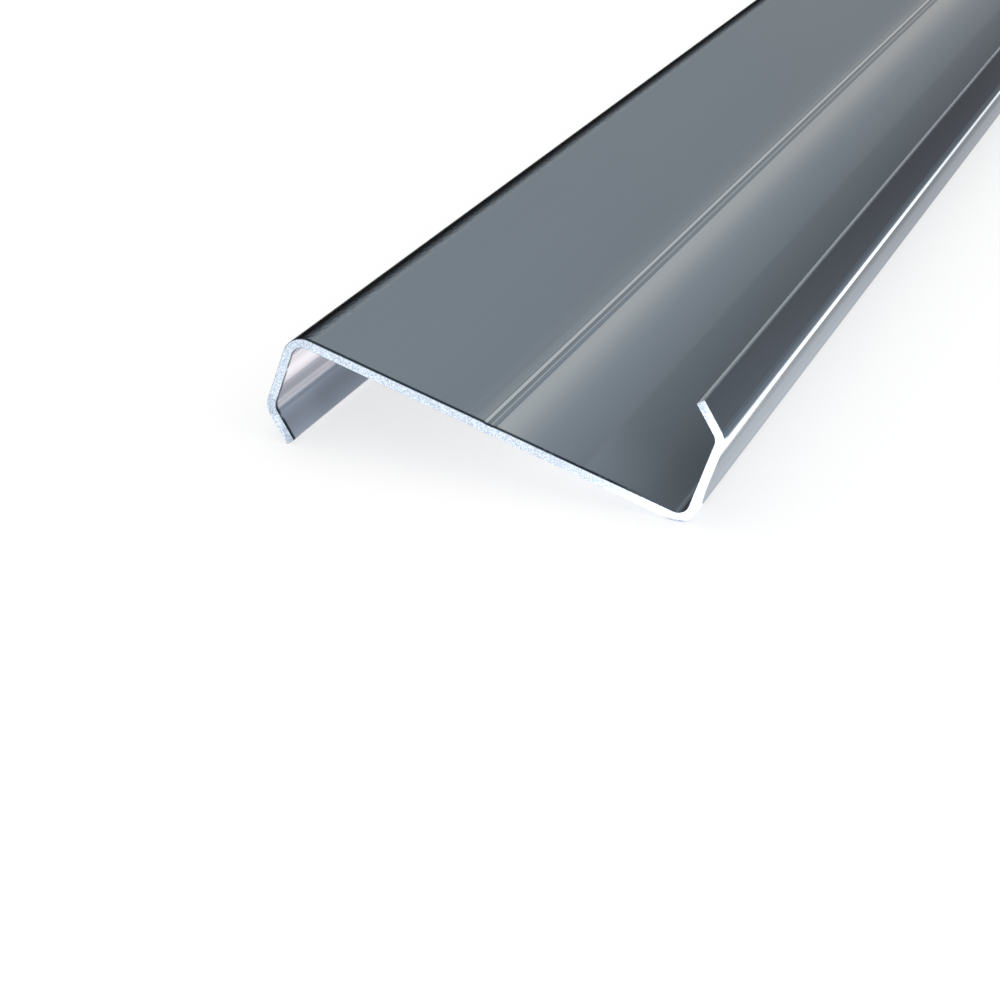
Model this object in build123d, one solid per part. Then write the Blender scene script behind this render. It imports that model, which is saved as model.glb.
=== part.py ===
"""Z purlin: one strip of galvanised steel, cold rolled to a lipped Z section and cut to length.

The section is drawn as the line through the middle of the sheet, with the broad flange turned up
on the right and the narrow flange turned down on the left. The piece lies as it does unheld on a
level floor: on the slit edge of the narrow lip and on the bend of the broad flange. Its length runs
along Y, and the origin is on the floor, under the middle of the piece's box.
"""

import os
from math import asin, atan2, cos, degrees, hypot, radians, sin, tan

from build123d import *

# Section, measured over the outside of the sheet, with the flanges and lips up to the sharp
# corners that their outer faces would meet in
web_depth = 150.0
broad_flange = 34.0
narrow_flange = 29.0
lip = 15.0
sheet = 3.2

# How far each lip turns in from the line of its flange, in degrees
lip_turn = 50.0

# Radius inside every bend of the flanges and lips
bend_radius = 4.0

# Twin groove rolled along the middle of the web, sunk in its upper face and raised on its lower
# one. A low ridge parts its two bottoms, and the radius is that of the middle of the sheet
groove_width = 4.8
groove_depth = 0.25
groove_spacing = 2.0
ridge_height = 0.12
groove_radius = 2.2

# Round edges, left by the slitter along the strip and by the shears at its two ends
slit_round = 0.45
shear_round = 0.3

# Stock length
length = 3000.0


def hook(flange):
    """The middle of the sheet from the web's corner to the lip's slit edge, and the middle of the
    round on that edge's outer corner, for a flange that turns up on the right."""
    turn = radians(lip_turn)
    half = sheet / 2
    corner = (web_depth / 2 - half, 0)
    fold = (web_depth / 2 - half, flange - half - half * tan(turn / 2))
    outer_fold = (web_depth / 2, flange - half)
    tip_outside = (outer_fold[0] - lip * sin(turn), outer_fold[1] + lip * cos(turn))
    tip = (tip_outside[0] - half * cos(turn), tip_outside[1] - half * sin(turn))
    round_middle = (
        tip_outside[0] + slit_round * (sin(turn) - cos(turn)),
        tip_outside[1] - slit_round * (sin(turn) + cos(turn)),
    )
    return corner, fold, tip, round_middle


def turned_over(point):
    """The same point on the side of the web where the flange points down."""
    return -point[0], -point[1]


def at_tip(vertex):
    """Whether a corner of the section lies on one of the two slit edges."""
    tips = (narrow_tip, broad_tip)
    return min(hypot(vertex.X - x, vertex.Y - y) for x, y in tips) < sheet


# The line through the middle of the sheet, from the narrow lip's slit edge to the broad lip's
broad_corner, broad_fold, broad_tip, broad_round = hook(broad_flange)
narrow_corner, narrow_fold, narrow_tip, narrow_round = map(turned_over, hook(narrow_flange))
groove = [
    (-groove_width / 2, 0),
    (-groove_spacing / 2, -groove_depth),
    (0, ridge_height - groove_depth),
    (groove_spacing / 2, -groove_depth),
    (groove_width / 2, 0),
]
points = [narrow_tip, narrow_fold, narrow_corner, *groove, broad_corner, broad_fold, broad_tip]
middle_radius = bend_radius + sheet / 2
radii = [middle_radius] * 2 + [groove_radius] * len(groove) + [middle_radius] * 2

with BuildPart() as rolled:
    with BuildSketch(Plane.XZ):
        with BuildLine():
            FilletPolyline(*points, radius=radii)
        trace(line_width=sheet)
        fillet(vertices().filter_by(at_tip), radius=slit_round)
    extrude(amount=length / 2, both=True)
    fillet(faces().filter_by(Axis.Y).edges(), radius=shear_round)

# The floor is tangent to the round of the narrow lip's outer corner and to the broad flange's bend
bend_middle = (web_depth / 2 - sheet - bend_radius, sheet / 2 + bend_radius)
run = bend_middle[0] - narrow_round[0]
rise = bend_middle[1] - narrow_round[1]
larger_by = bend_radius + sheet - slit_round
rest_tilt = degrees(atan2(rise, run) - asin(larger_by / hypot(run, rise)))

lying = Rot(0, rest_tilt, 0) * rolled.part
box = lying.bounding_box()
z_purlin = Pos(-box.center().X, -box.center().Y, -box.min.Z) * lying
z_purlin.label = "z_purlin"

os.makedirs("parts", exist_ok=True)
export_step(z_purlin, "parts/z_purlin.step")
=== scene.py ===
from math import asin, atan2, ceil, copysign, cos, degrees, pi, radians, sin, tan

import bpy
from mathutils import Matrix, Vector


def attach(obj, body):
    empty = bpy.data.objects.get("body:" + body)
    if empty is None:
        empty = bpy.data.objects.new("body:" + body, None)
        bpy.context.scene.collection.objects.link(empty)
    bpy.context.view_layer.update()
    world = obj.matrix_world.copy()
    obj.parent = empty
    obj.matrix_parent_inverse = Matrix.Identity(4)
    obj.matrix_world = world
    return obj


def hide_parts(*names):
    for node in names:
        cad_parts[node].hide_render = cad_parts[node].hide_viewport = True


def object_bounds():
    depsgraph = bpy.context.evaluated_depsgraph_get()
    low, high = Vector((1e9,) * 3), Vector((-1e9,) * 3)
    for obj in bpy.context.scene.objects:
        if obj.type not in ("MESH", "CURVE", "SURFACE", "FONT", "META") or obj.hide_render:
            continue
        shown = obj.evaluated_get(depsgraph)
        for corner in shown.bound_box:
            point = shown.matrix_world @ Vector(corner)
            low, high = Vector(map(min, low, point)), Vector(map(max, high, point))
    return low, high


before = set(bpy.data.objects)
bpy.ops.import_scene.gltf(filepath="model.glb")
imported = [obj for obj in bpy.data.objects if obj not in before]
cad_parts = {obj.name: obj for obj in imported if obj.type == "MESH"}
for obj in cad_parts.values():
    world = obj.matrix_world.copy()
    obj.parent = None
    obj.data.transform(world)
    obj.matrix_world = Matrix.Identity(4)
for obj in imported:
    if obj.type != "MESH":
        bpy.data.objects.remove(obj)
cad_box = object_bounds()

# The purlin: one strip of hot dip galvanised steel, cold rolled to a lipped Z with a twin groove
# along the middle of its web, and sheared to length. It lies unheld on the floor, on the slit edge
# of its narrow lip and on the bend of its broad flange.

# Section over the outside of the sheet, in metres, with flanges and lips up to sharp corners
web_depth = 0.1500
broad_flange = 0.0340
narrow_flange = 0.0290
lip = 0.0150
lip_turn = radians(50)
sheet = 0.0032
bend_radius = 0.0040
groove_width = 0.0048
groove_depth = 0.00025
groove_spacing = 0.0020
ridge_height = 0.00012
groove_radius = 0.0022

# Round edges that the slitter leaves along the strip, and the shears at its two ends
slit_round = 0.00045
shear_round = 0.00030

# How finely the bends and the round edges are drawn, and how far the mesh lies inside the part's
# own surface
bend_step = radians(3)
edge_steps = 4
skin = 0.000005

half_sheet = sheet / 2


def hook(flange):
    """The middle of the sheet from the web's corner to the lip's slit edge, and the middle of the
    round on that edge's outer corner, for a flange that turns up on the right."""
    corner = Vector((web_depth / 2 - half_sheet, 0))
    fold = corner + Vector((0, flange - half_sheet * (1 + tan(lip_turn / 2))))
    outer_fold = Vector((web_depth / 2, flange - half_sheet))
    tip_outside = outer_fold + lip * Vector((-sin(lip_turn), cos(lip_turn)))
    tip = tip_outside - half_sheet * Vector((cos(lip_turn), sin(lip_turn)))
    round_middle = tip_outside + slit_round * Vector((sin(lip_turn) - cos(lip_turn),
                                                      -sin(lip_turn) - cos(lip_turn)))
    return corner, fold, tip, round_middle


def left_of(direction):
    return Vector((-direction.y, direction.x))


def turned(vector, angle):
    return Vector((vector.x * cos(angle) - vector.y * sin(angle),
                   vector.x * sin(angle) + vector.y * cos(angle)))


def rolled(points, radii):
    """The line through the points with round corners: places, directions and distances along it."""
    line = []
    for before, corner, after, radius in zip(points, points[1:], points[2:], radii):
        going_in = (corner - before).normalized()
        going_out = (after - corner).normalized()
        turn = atan2(going_in.cross(going_out), going_in.dot(going_out))
        start = corner - going_in * radius * tan(abs(turn) / 2)
        arm = -left_of(going_in) * radius * (1 if turn > 0 else -1)
        count = ceil(abs(turn) / bend_step)
        for i in range(count + 1):
            angle = turn * i / count
            line.append((start - arm + turned(arm, angle), turned(going_in, angle)))
    first = (points[1] - points[0]).normalized()
    last = (points[-1] - points[-2]).normalized()
    line.insert(0, (points[0] + first * slit_round, first))
    line.append((points[-1] - last * slit_round, last))
    distances = [0]
    for (start, _), (end, _) in zip(line, line[1:]):
        distances.append(distances[-1] + (end - start).length)
    return [(*row, distance) for row, distance in zip(line, distances)]


broad_corner, broad_fold, broad_tip, _ = hook(broad_flange)
narrow_corner, narrow_fold, narrow_tip, narrow_round = (-place for place in hook(narrow_flange))
groove = [Vector((-groove_width / 2, 0)), Vector((-groove_spacing / 2, -groove_depth)),
          Vector((0, ridge_height - groove_depth)),
          Vector((groove_spacing / 2, -groove_depth)), Vector((groove_width / 2, 0))]
corners = [narrow_tip, narrow_fold, narrow_corner, *groove, broad_corner, broad_fold, broad_tip]
middle_radius = bend_radius + half_sheet
radii = [middle_radius] * 2 + [groove_radius] * len(groove) + [middle_radius] * 2
middle = rolled(corners, radii)
strip_width = middle[-1][2]


def slit_edge(place, along, out, inset):
    """The round corners of a slit edge, from the face that looks out to the one opposite."""
    for first, last, side in ((out, along, out), (along, -out, -out)):
        centre = place + side * (half_sheet - slit_round)
        for i in range(edge_steps + 1):
            angle = pi / 2 * i / edge_steps
            facing = first * cos(angle) + last * sin(angle)
            yield centre + facing * (slit_round - inset), facing


def section(inset):
    """The section's edge, moved in by inset: place, facing, distance across the strip, how far it
    faces as the slit edge does, and how far through the sheet it lies, from -1 to 1."""
    edge = []
    for rows, side in ((middle, 1), (middle[::-1], -1)):
        for place, direction, distance in rows[1:-1]:
            out = left_of(direction) * side
            edge.append((place + out * (half_sheet - inset), out, distance, 0, side))
        place, direction, distance = rows[-1]
        along = direction * side
        for corner, facing in slit_edge(place, along, left_of(along), inset):
            through = (corner - place).dot(left_of(direction)) / half_sheet
            edge.append((corner, facing, distance, max(0, facing.dot(along)), through))
    return edge


# The floor is tangent to the round of the narrow lip's outer corner and to the broad flange's bend
bend_middle = Vector((web_depth / 2 - sheet - bend_radius, half_sheet + bend_radius))
span = bend_middle - narrow_round
rest_tilt = atan2(span.y, span.x) - asin((bend_radius + sheet - slit_round) / span.length)
tipped = [turned(place, -rest_tilt) for place, *_ in section(0)]
to_middle = -(min(place.x for place in tipped) + max(place.x for place in tipped)) / 2
to_floor = slit_round - turned(narrow_round, -rest_tilt).y
half_length = (cad_box[1].y - cad_box[0].y) / 2


def sheared_end(per_ring):
    """The faces that close an end, as places round the section's edge: quads from side to side of
    the sheet, and one face for each slit edge."""
    side = len(middle) - 2
    half = per_ring // 2
    quads = [(i, i + 1, half + side - 2 - i, half + side - 1 - i) for i in range(side - 1)]
    broad_end = (*range(side - 1, half), half)
    narrow_end = (*range(half + side - 1, per_ring), 0)
    return [*quads, broad_end, narrow_end]


def sweep_purlin():
    """The section along the whole length, with its edges rounded where the shears cut it."""
    rings = []
    for end in (-1, 1):
        for i in range(edge_steps + 1):
            angle = pi / 2 * (edge_steps - i if end < 0 else i) / edge_steps
            rings.append((end, angle))
    vertices, normals, across, slit, outer, through = [], [], [], [], [], []
    for end, angle in rings:
        y = end * (half_length - shear_round * (1 - sin(angle)))
        inset = skin + shear_round * (1 - cos(angle))
        for place, facing, distance, on_slit, depth in section(inset):
            outer.append(facing.x * copysign(1, place.x))
            slit.append(on_slit)
            through.append(depth)
            across.append(distance - strip_width / 2)
            place = turned(place, -rest_tilt)
            facing = turned(facing, -rest_tilt)
            vertices.append((place.x + to_middle, y, place.y + to_floor))
            normals.append((facing.x * cos(angle), end * sin(angle), facing.y * cos(angle)))
    per_ring = len(vertices) // len(rings)
    faces = []
    for ring in range(len(rings) - 1):
        for i in range(per_ring):
            here = ring * per_ring + i
            beside = ring * per_ring + (i + 1) % per_ring
            faces.append((here, beside, beside + per_ring, here + per_ring))
    last_ring = len(vertices) - per_ring
    faces += [face[::-1] for face in sheared_end(per_ring)]
    faces += [tuple(last_ring + i for i in face) for face in sheared_end(per_ring)]
    mesh = bpy.data.meshes.new("purlin")
    mesh.from_pydata(vertices, [], faces)
    mesh.validate()
    mesh.shade_smooth()
    mesh.normals_split_custom_set_from_vertices(normals)
    shading = {"across": across, "slit": slit, "outer": outer, "through": through}
    for name, values in shading.items():
        mesh.attributes.new(name, "FLOAT", "POINT").data.foreach_set("value", values)
    return mesh


purlin = bpy.data.objects.new("purlin", sweep_purlin())
bpy.context.scene.collection.objects.link(purlin)


class Value:
    """A socket of a material's or the world's nodes. Sums and products written on it add their Math
    nodes."""

    def __init__(self, tree, socket=None):
        self.tree = tree
        self.socket = socket

    def node(self, kind, settings, sockets, output=0):
        """Adds a node with its settings and its sockets' values or links, and gives its output."""
        added = self.tree.nodes.new("ShaderNode" + kind)
        for name, setting in settings.items():
            if name == "stops":
                ramp = added.color_ramp
                while len(ramp.elements) < len(setting):
                    ramp.elements.new(1)
                for stop, (position, colour) in zip(ramp.elements, setting):
                    stop.position = position
                    stop.color = (*colour, 1)
            else:
                setattr(added, name, setting)
        for name, value in sockets.items():
            if isinstance(value, Value):
                self.tree.links.new(value.socket, added.inputs[name])
            else:
                added.inputs[name].default_value = value
        return Value(self.tree, None if output is None else added.outputs[output])

    def maths(self, operation, *others):
        return self.node("Math", {"operation": operation}, dict(enumerate((self, *others))))

    def __add__(self, other):
        return self.maths("ADD", other)

    def __sub__(self, other):
        return self.maths("SUBTRACT", other)

    def __rsub__(self, other):
        return self.node("Math", {"operation": "SUBTRACT"}, {0: other, 1: self})

    def __mul__(self, other):
        return self.maths("MULTIPLY", other)

    def __abs__(self):
        return self.maths("ABSOLUTE")

    __radd__ = __add__
    __rmul__ = __mul__

    def ramp(self, low, high, start=0.0, end=1.0):
        """Goes smoothly from start to end as the value goes from low to high."""
        places = {"Value": self, "From Min": low, "From Max": high, "To Min": start, "To Max": end}
        return self.node("MapRange", {"interpolation_type": "SMOOTHSTEP"}, places)

    def between(self, one, other):
        """Mixes two colours by this value."""
        return self.node("Mix", {"data_type": "RGBA"}, {0: self, 6: one, 7: other}, 2)


# Zinc as it comes off the rolls, with faint streaks and clouds, each given by its patches to the
# metre across the strip and along it. It mirrors less at a glancing look than a bright metal does
zinc_dark = (0.330, 0.404, 0.473, 1)
zinc_light = (0.360, 0.434, 0.503, 1)
streaks_per_metre = (700, 2.5)
clouds_per_metre = (40, 6)
zinc_roughness = 0.040
streak_roughness = 0.03
glancing = 0.7

# Bare steel: speckled where the shears cut it, and along the slit edges bright in the middle of the
# sheet and darker beside its faces, which is partly the bare steel's own colour and partly a painted
# highlight. A reach holds where a look begins to change and where it ends: here how far a face looks
# along the purlin, the noise of the specks, and shares of half a sheet
cut_dark = (0.440, 0.515, 0.615, 1)
cut_light = (0.730, 0.810, 0.930, 1)
cut_roughness = 0.30
cut_reach = (0.6, 0.9)
speck_size = 0.00045
speck_reach = (0.35, 0.65)
slit_dark = (0.330, 0.370, 0.410, 1)
slit_light = (0.720, 0.800, 0.880, 1)
slit_roughness = 0.25
slit_metal = 0.4
burnish_and_highlight_reach = (0.05, 0.75)

# A painted shade along the ends, in place of the dark line on the rounds of the sheared edges: its
# width and its soft edge, how far short of the broad flange's bend it fades out, and the small gaps
# in it. It is only on faces that don't look out to either side of the purlin, and the inner reach
# says how far out is too far
painted_edge_shade = (0.020, 0.040, 0.060, 1)
line_width = 0.0012
line_fade = 0.0010
line_clear = (0.010, 0.030)
inner_reach = (0.1, 0.4)
gap_size = 0.004
gap_reach = (0.25, 0.4)

# The rolls leave fine chatter on the narrow flange's bend and just beside it, which dulls it too
chatter_per_metre = (1100, 420)
chatter_height = 0.00020
chatter_fade = 0.0020
chatter_roughness = 0.07

# They rub the bend of the narrow lip dull. A thin line a little beside its middle is painted shade,
# which dims the highlight on the bend
rub_roughness = 0.26
rub_reach = (0.0020, 0.0045)
painted_shade_shift = 0.0009
painted_shade_colour = (0.220, 0.270, 0.320, 1)
painted_shade_share = 0.45
painted_shade_reach = (0.0006, 0.0018)


def strip_place(corner):
    """How far across the strip from its middle a corner of the section lies."""
    return min(middle, key=lambda row: (row[0] - corner).length)[2] - strip_width / 2


def drawn_out(across, along, per_metre, detail):
    """Noise with so many patches to the metre across the strip, and so many along it."""
    place = across.node("CombineXYZ", {}, {"X": across * per_metre[0], "Y": along * per_metre[1]})
    return across.node("TexNoise", {}, {"Vector": place, "Scale": 1.0, "Detail": detail})


def galvanised():
    """Smooth zinc with faint streaks along the rolling direction, and bright speckled cut faces."""
    material = bpy.data.materials.new("galvanised_steel")
    material.use_nodes = True
    tree = material.node_tree
    shader = tree.nodes["Principled BSDF"]
    start = Value(tree)
    place = start.node("TexCoord", {}, {}, "Object")
    y = start.node("SeparateXYZ", {}, {0: place}, "Y")
    facing = start.node("TexCoord", {}, {}, "Normal")
    end_on = abs(start.node("SeparateXYZ", {}, {0: facing}, "Y"))
    across, slit, outer, through = (
        start.node("Attribute", {"attribute_name": name}, {}, "Fac")
        for name in ("across", "slit", "outer", "through"))

    streaks = drawn_out(across, y, streaks_per_metre, 3.0)
    clouds = drawn_out(across, y, clouds_per_metre, 2.0)
    colour = (streaks * 0.5 + clouds * 0.5).between(zinc_dark, zinc_light)
    roughness = zinc_roughness + streaks * streak_roughness

    from_fold = across - strip_place(narrow_fold)
    rubbed = abs(from_fold).ramp(*rub_reach, 1, 0)
    # Painted shade: a thin dark line beside the middle of the narrow lip's bend, dimming its
    # highlight
    painted_shade = abs(from_fold - painted_shade_shift).ramp(*painted_shade_reach, 1, 0)
    colour = (painted_shade * painted_shade_share).between(colour, painted_shade_colour)
    roughness = roughness + rubbed * rub_roughness

    specks = start.node("TexNoise", {}, {"Vector": place, "Scale": 1 / speck_size, "Detail": 1.0})
    cut_face = end_on.ramp(*cut_reach)
    # Partly painted highlight: the slit edges are light in the middle of the sheet and darker beside
    # its faces
    burnish_and_highlight = abs(through).ramp(*burnish_and_highlight_reach, 1, 0)
    colour = slit.between(colour, burnish_and_highlight.between(slit_dark, slit_light))
    colour = cut_face.between(colour, specks.ramp(*speck_reach).between(cut_dark, cut_light))
    roughness = roughness + slit * slit_roughness + cut_face * cut_roughness
    metallic = 1 - slit * (1 - slit_metal)

    # Painted shade: a dark line along the ends, for the shade on the rounds of the sheared edges
    gaps = start.node("TexNoise", {}, {"Vector": place, "Scale": 1 / gap_size, "Detail": 2.0})
    near_end = (half_length - abs(y)).ramp(line_width, line_width + line_fade, 1, 0)
    inner = outer.ramp(*inner_reach, 1, 0)
    clear_of_bend = (strip_place(broad_corner) - across).ramp(*line_clear)
    on_faces = (1 - cut_face) * (1 - slit)
    line = near_end * inner * on_faces * clear_of_bend * gaps.ramp(*gap_reach)
    colour = line.between(colour, painted_edge_shade)

    half_bend = middle_radius * pi / 4
    beside_bend = abs(across - strip_place(narrow_corner))
    at_bend = beside_bend.ramp(half_bend, half_bend + chatter_fade, 1, 0)
    chatter = drawn_out(across, y, chatter_per_metre, 4.0)
    normal = start.node("Bump", {}, {"Distance": chatter_height, "Height": chatter * at_bend})
    roughness = roughness + at_bend * chatter_roughness

    look = {"Base Color": colour, "Roughness": roughness, "Metallic": metallic, "Normal": normal}
    for name, value in look.items():
        tree.links.new(value.socket, shader.inputs[name])
    shader.inputs["Specular Tint"].default_value = (glancing, glancing, glancing, 1)
    return material


purlin.data.materials.append(galvanised())
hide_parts("z_purlin")
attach(purlin, "root")

# The floor: plain and pale, wide enough for every view. It is white to the camera and in the steel,
# and keeps the purlin's soft shadow.

floor_half = 30.0
floor_grey = 0.35
floor_glow = 0.68


def blank(owner):
    """Empties the nodes of a material or the world, and gives a start for new ones."""
    owner.use_nodes = True
    owner.node_tree.nodes.clear()
    return Value(owner.node_tree)


def level_piece(name, outline, height, material):
    """A level piece of the stage inside an outline."""
    mesh = bpy.data.meshes.new(name)
    mesh.from_pydata([(x, y, height) for x, y in outline], [], [tuple(range(len(outline)))])
    mesh.materials.append(material)
    piece = bpy.data.objects.new(name, mesh)
    bpy.context.scene.collection.objects.link(piece)
    return piece


def oblong(left, near, right, far):
    return [(left, near), (right, near), (right, far), (left, far)]


def pale_floor():
    """Grey under the light, with a glow of its own that whitens it to the camera and in mirrors."""
    material = bpy.data.materials.new("pale_floor")
    start = blank(material)
    by_camera = start.node("LightPath", {}, {}, "Is Camera Ray")
    seen = by_camera + start.node("LightPath", {}, {}, "Is Glossy Ray")
    diffuse = start.node("BsdfDiffuse", {}, {"Color": (floor_grey, floor_grey, floor_grey, 1)})
    glow = start.node("Emission", {}, {"Strength": seen * floor_glow})
    both = start.node("AddShader", {}, {0: diffuse, 1: glow})
    start.node("OutputMaterial", {}, {"Surface": both}, None)
    return material


level_piece("floor", oblong(-floor_half, -floor_half, floor_half, floor_half), 0, pale_floor())

# Cards that only the steel shows, as its reflections of a studio. They lie on the floor beside and
# under the purlin and in front of it, and two hang low over its sides. Each stop is a place along X,
# a brightness and a tint.

card_lift = 0.0003
card_far = floor_half
low_over = 0.060
black = (0, 0, 0, 1)
plain = (1.0, 1.0, 1.0)
warm = (1.10, 1.0, 0.91)
cool = (0.95, 1.0, 1.07)
slate = (1.03, 0.99, 1.03)
amber = (1.18, 1.0, 0.97)
straw = (1.20, 0.98, 0.925)
white_level = 2.6
white = [(0.0, white_level, plain), (1.0, white_level, plain)]


def graded(value, stops):
    """The colour at a value, between stops that each hold a value, a brightness and a tint."""
    first, last = stops[0][0], stops[-1][0]
    shades = [((place - first) / (last - first), tuple(level * part for part in tint))
              for place, level, tint in stops]
    share = value.node("MapRange", {}, {0: value, 1: first, 2: last})
    return value.node("ValToRGB", {"stops": shades}, {0: share})


def card(name, outline, height, stops, near=0.0, far=1.0, far_share=1.0):
    """A card with the colours that the stops give along X. Beyond the far one of two places along Y
    it has only a share of them."""
    material = bpy.data.materials.new(name)
    start = blank(material)
    place = start.node("TexCoord", {}, {}, "Object")
    x = start.node("SeparateXYZ", {}, {0: place}, "X")
    y = start.node("SeparateXYZ", {}, {0: place}, "Y")
    colour = y.ramp(near, far, 1.0, far_share).between(black, graded(x, stops))
    glow = start.node("Emission", {}, {"Color": colour})
    start.node("OutputMaterial", {}, {"Surface": glow}, None)
    piece = level_piece(name, outline, height, material)
    piece.visible_camera = False
    piece.visible_diffuse = False
    piece.visible_transmission = False
    piece.visible_shadow = False


# The lit strip that the fold of the broad lip shows as a white line, and the two cards that whiten
# the cut face, the second one that of the broad lip. The strip narrows along the purlin.
strip_inner = [(0.0784, -1.430), (0.0790, -1.360), (0.0798, -1.310), (0.0825, -1.190),
               (0.0858, -1.090), (0.0905, -0.990), (0.1000, -0.600), (0.1050, card_far)]
strip_outer = [(0.1170, card_far), (0.1170, -0.600), (0.1150, -0.990), (0.1121, -1.090),
               (0.1096, -1.190), (0.1076, -1.310), (0.1066, -1.380), (0.1066, -1.800)]
card("lit_strip", [(0.0784, -1.800), *strip_inner, *strip_outer], card_lift * 2,
     white, -1.200, -0.900, 0.72)
card("front_card", [(-0.300, -1.900), (0.350, -1.900), (0.350, -1.060), (0.117, -1.387),
                    (0.0780, -1.456), (0.0755, -1.472), (0.0735, -1.484), (0.060, -1.488),
                    (-0.300, -1.500)], card_lift * 3,
     [(-0.300, 1.32, plain), (0.025, 1.32, plain), (0.040, 1.70, plain), (0.055, 2.3, plain),
      (0.070, white_level, plain), (0.350, white_level, plain)])
card("hook_card", oblong(0.020, -1.900, 0.060, -1.550), card_lift * 4, white)

# The grey that the flange's outer face shows, and beyond the strip the grey of the lip's fold
card("flange_card", [(0.066, -1.700), (0.0784, -1.700), *strip_inner, (0.066, card_far)],
     card_lift,
     [(0.066, 0.78, cool), (0.0730, 0.80, cool), (0.0742, 0.88, cool), (0.0750, 0.81, cool),
      (0.0765, 0.82, cool), (0.0775, 0.66, cool), (0.0785, 0.50, cool), (0.0840, 0.75, cool),
      (0.0900, 1.15, plain), (0.1000, 1.70, plain), (0.1100, 1.90, plain)], -1.450, -1.050, 0.68)
card("fold_card", oblong(0.105, -1.800, floor_half, card_far), card_lift,
     [(0.105, 1.05, cool), (0.112, 0.85, cool), (0.118, 0.60, cool), (0.133, 0.43, cool),
      (0.167, 0.42, cool), (0.300, 0.45, cool), (0.450, 0.44, cool), (1.000, 0.41, cool)],
     -1.200, -0.600, 0.66)

# The black beyond the purlin's left side, and the light that the narrow flange's inside shows
card("black_cloth", oblong(-floor_half, -card_far, -0.110, card_far), card_lift,
     [(-0.340, 0.0, plain), (-0.200, 0.10, plain), (-0.110, 0.55, plain)])
card("under_card", oblong(-0.0725, -1.520, 0.060, 1.520), card_lift,
     [(-0.0725, 1.10, plain), (-0.0685, 1.70, amber), (-0.0670, 2.20, amber), (-0.0655, 2.35, amber),
      (-0.0640, 1.85, amber), (-0.0620, 1.90, amber), (-0.0610, 1.90, amber), (-0.0600, 1.20, amber),
      (-0.0580, 1.05, amber), (-0.0330, 1.00, amber), (-0.0225, 1.15, straw), (-0.0205, 2.50, straw),
      (-0.0175, 1.65, straw), (-0.0130, 1.42, straw), (-0.0090, 1.62, straw), (-0.0060, 1.82, straw),
      (0.0, 2.70, straw), (0.020, 3.00, straw), (0.060, 3.00, straw)],
     -1.350, -1.322, 0.80)

# A dark card low over the broad flange, which the right side of the web and the bend there show
card("dark_card", oblong(0.030, -1.700, 0.085, 1.700), low_over,
     [(0.0300, 0.490, plain), (0.0356, 0.450, plain), (0.0410, 0.41, plain), (0.0464, 0.375, plain),
      (0.0518, 0.335, plain), (0.0573, 0.29, plain), (0.0617, 0.265, plain), (0.0700, 0.25, plain),
      (0.0850, 0.20, plain)], -1.395, -1.330, 0.79)

# The dark fringe that the bend of the narrow flange shows along the web
card("fringe_card", oblong(-0.141, -1.700, -0.0722, 1.700), low_over,
     [(-0.141, 0.005, plain), (-0.120, 0.012, plain), (-0.101, 0.035, plain),
      (-0.0905, 0.08, plain), (-0.0830, 0.17, plain), (-0.0790, 0.25, plain),
      (-0.0750, 0.31, plain), (-0.0722, 0.35, plain)], -1.420, -1.250, 0.80)

# The light: a white room with graded panels that only the steel shows. They run along the purlin.
# Each stop is an angle in degrees from straight up, to the left below zero, a brightness and a tint.

# What lies ahead of the camera, and in finer steps the part of it that the web shows
ahead = [(-180, 0.0, plain), (-90, 0.005, plain), (-74, 0.015, plain), (-66, 0.25, plain),
         (-36, 0.30, plain), (-32, 0.52, plain), (-28.6, 0.60, plain), (-24, 0.48, plain),
         (-20, 0.50, plain), (-17, 0.54, plain), (1, 0.15, plain), (3, 0.88, warm),
         (9, 0.95, warm), (12, 1.20, warm), (24, 1.25, warm), (40, 0.18, plain),
         (75, 0.21, plain), (78.9, 0.238, slate), (79.3, 0.232, slate), (79.45, 0.210, slate),
         (79.6, 0.185, slate), (79.7, 0.205, slate), (79.8, 0.240, slate), (80, 0.280, slate),
         (83, 0.32, cool), (86, 0.37, cool), (90, 0.39, cool), (180, 0.39, cool)]
over_web = [(-20.0, 0.50, plain), (-17.5, 0.54, plain), (-16.4, 0.545, plain),
            (-13.5, 0.54, plain), (-11.1, 0.52, plain), (-9.8, 0.505, plain),
            (-8.95, 0.50, plain), (-8.5, 1.07, warm), (-8.2, 1.04, warm), (-7.8, 1.00, warm),
            (-7.5, 0.90, warm), (-7.3, 0.80, warm), (-6.75, 0.65, plain), (-6.2, 0.565, plain),
            (-5.7, 0.54, plain), (-4.6, 0.48, plain), (-3.3, 0.380, plain), (-1.9, 0.31, plain),
            (-1.2, 0.255, plain), (-0.5, 0.225, plain), (0.5, 0.17, plain), (1.0, 0.16, plain),
            (2.4, 0.85, warm), (5.0, 0.90, warm)]

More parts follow.
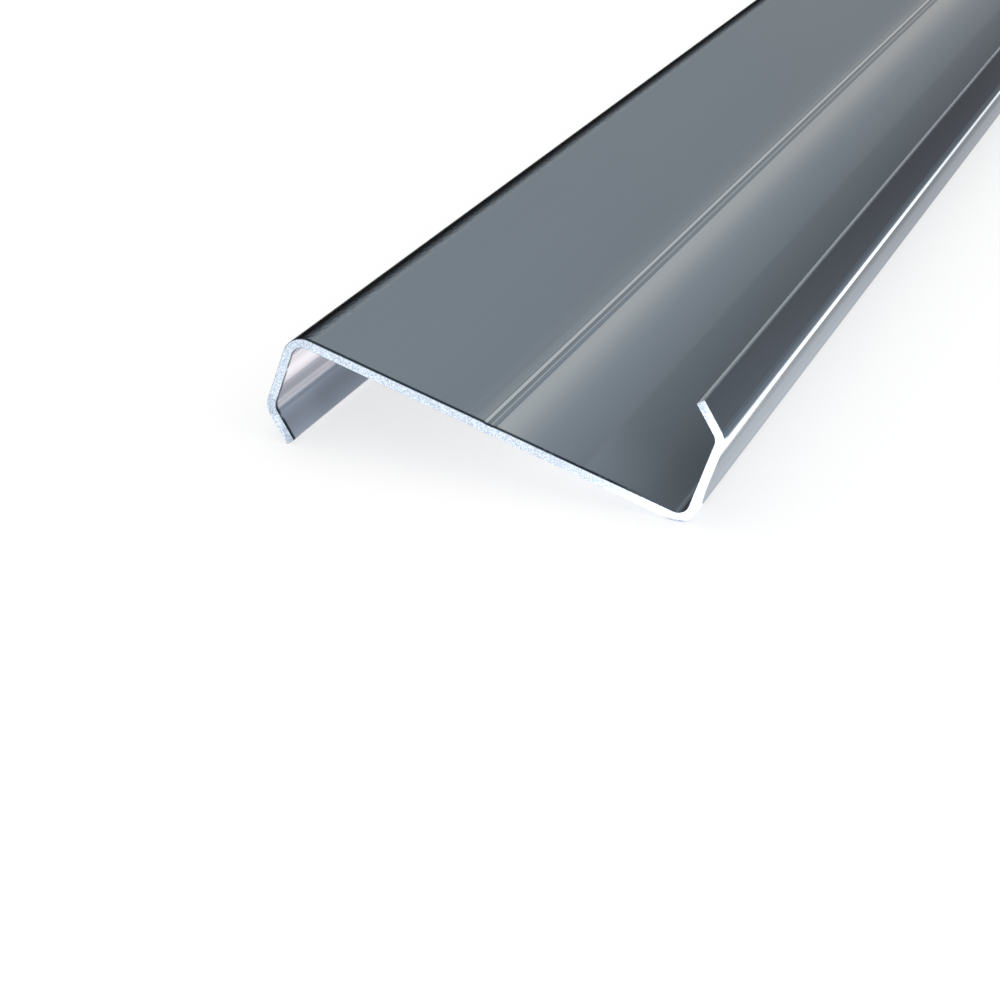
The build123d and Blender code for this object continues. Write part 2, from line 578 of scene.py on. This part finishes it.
# What lies to the sides, behind the camera and overhead
around = [(-180, 0.45, plain), (-90, 0.60, plain), (-60, 0.62, plain), (-20, 0.66, plain),
          (10, 0.88, plain), (30, 0.72, plain), (50, 0.52, plain), (90, 0.42, plain),
          (180, 0.42, plain)]

# How far a look goes along the purlin, as a share, where the room ahead takes over from the rest
ahead_reach = (0.35, 0.75)

# The broad lip's outer face darkens along the purlin: by how much, in which angles, and between
# which shares of the look along it
lip_dimming = 0.30
lip_angles = (76.0, 78.0)
lip_reach = (0.918, 0.966)


def white_room():
    """White to the camera and to the other surfaces, and in the steel the panels."""
    world = bpy.data.worlds.new("white_room")
    start = blank(world)
    looking = start.node("TexCoord", {}, {}, "Generated")
    x, y, z = (start.node("SeparateXYZ", {}, {0: looking}, axis) for axis in "XYZ")
    angle = x.maths("ARCTAN2", z) * degrees(1)
    low, high = over_web[0][0], over_web[-1][0]
    web_part = angle.maths("GREATER_THAN", low) * angle.maths("LESS_THAN", high)
    forward = web_part.between(graded(angle, ahead), graded(angle, over_web))
    over_lip = angle.ramp(*lip_angles) * y.ramp(*lip_reach)
    forward = (over_lip * lip_dimming).between(forward, black)
    room = y.ramp(*ahead_reach).between(graded(angle, around), forward)
    glossy = start.node("LightPath", {}, {}, "Is Glossy Ray")
    background = start.node("Background", {}, {"Color": glossy.between((1, 1, 1, 1), room)})
    start.node("OutputWorld", {}, {"Surface": background}, None)
    return world


bpy.context.scene.world = white_room()

# The camera, where the picture was taken from: in front of the near end, to the right of the
# purlin and above it. It looks along the purlin and down.

camera_data = bpy.data.cameras.new("camera")
camera_data.sensor_width = 36
camera_data.lens = 99.207
camera_data.clip_start = 0.01
camera_data.clip_end = 200
camera = bpy.data.objects.new("camera", camera_data)
bpy.context.scene.collection.objects.link(camera)
bpy.context.scene.camera = camera
camera_place = Vector((0.25571, -2.31438, 0.34355))
view = Vector((-0.27147, 0.88487, -0.37857)).normalized()
roughly_up = Vector((-0.18956, 0.33648, 0.92241)).normalized()
right = view.cross(roughly_up).normalized()
up = right.cross(view)
axes = Matrix((right, up, -view)).transposed().to_4x4()
camera.matrix_world = Matrix.Translation(camera_place) @ axes

bpy.context.scene.view_settings.view_transform = "Standard"
